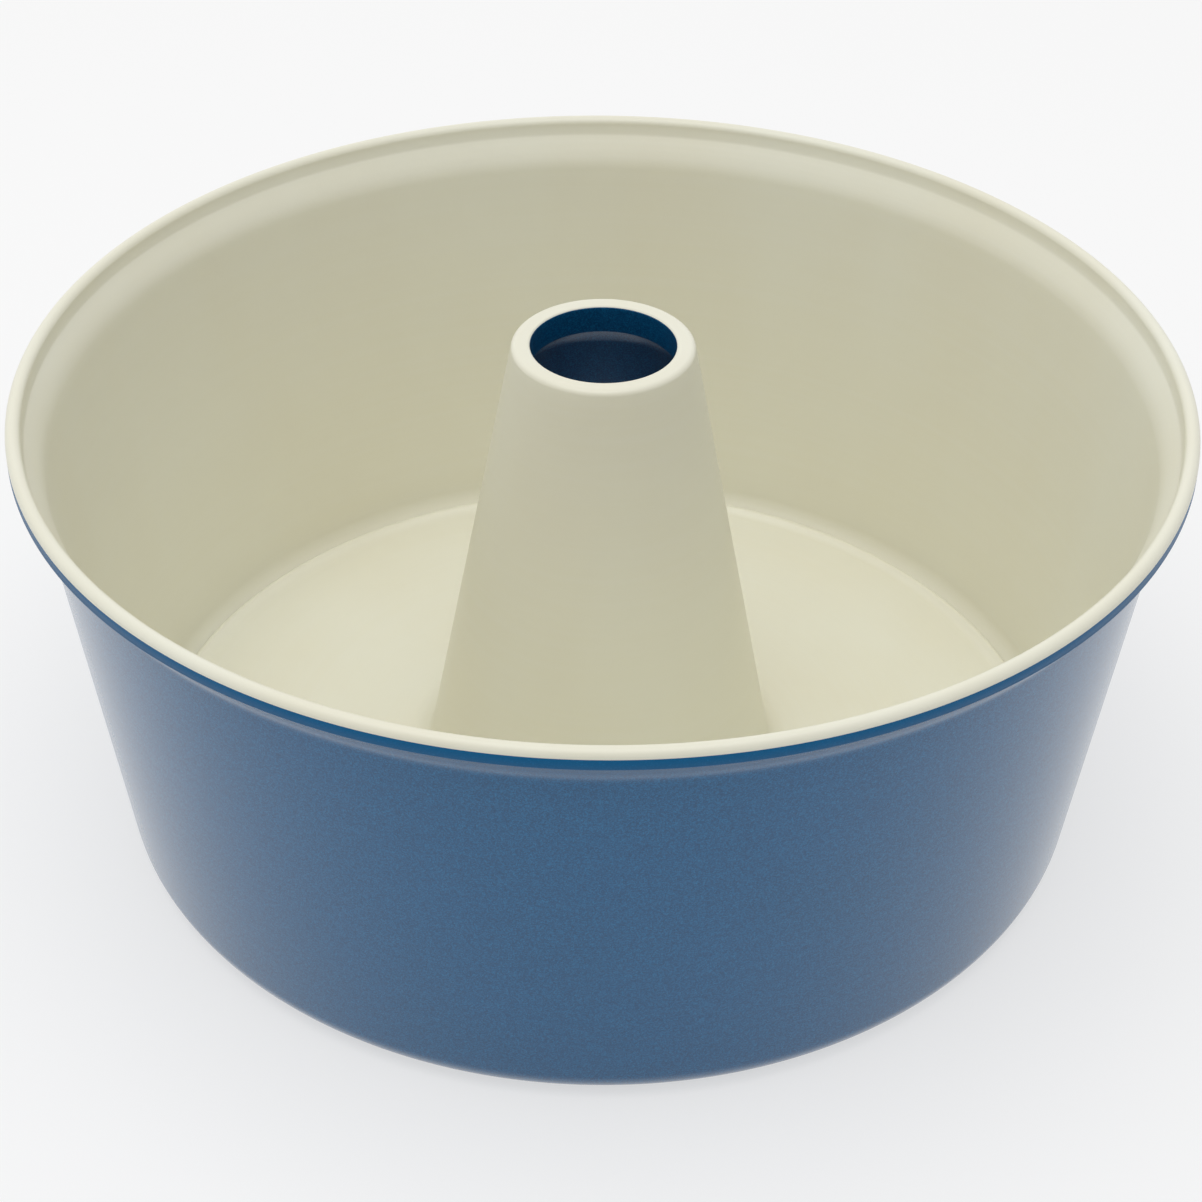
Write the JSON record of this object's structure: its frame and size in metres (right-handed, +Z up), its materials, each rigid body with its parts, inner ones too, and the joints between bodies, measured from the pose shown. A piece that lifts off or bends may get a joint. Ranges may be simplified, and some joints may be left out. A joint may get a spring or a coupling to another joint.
{
  "type": "angel food cake pan",
  "caption": "Deep round cake pan with a flared rounded lip, an open foot and a lift-out base plate that carries a tall tapered centre tube.",
  "frame": {"origin": "centre of the foot on the pan's axis, at the height of the surface the pan stands on", "axes": "+Z up along the pan's axis; the pan is round, so +X and +Y are free choices"},
  "size_m": [0.264, 0.264, 0.1195],
  "materials": {
    "blue_metallic_coat": "satin metallic blue coat outside, pale cream non-stick coat inside",
    "cream_nonstick_coat": "smooth satin cream non-stick coat on top, metallic blue coat underneath"
  },
  "bodies": {
    "pan": {"pan_body": "blue_metallic_coat"},
    "insert": {"tube_insert": "cream_nonstick_coat"}
  },
  "joints": [
    {"name": "insert_lift", "type": "slide", "parent": "pan", "child": "insert", "axis": [0, 0, 1], "range_m": [0, 0.125]}
  ]
}
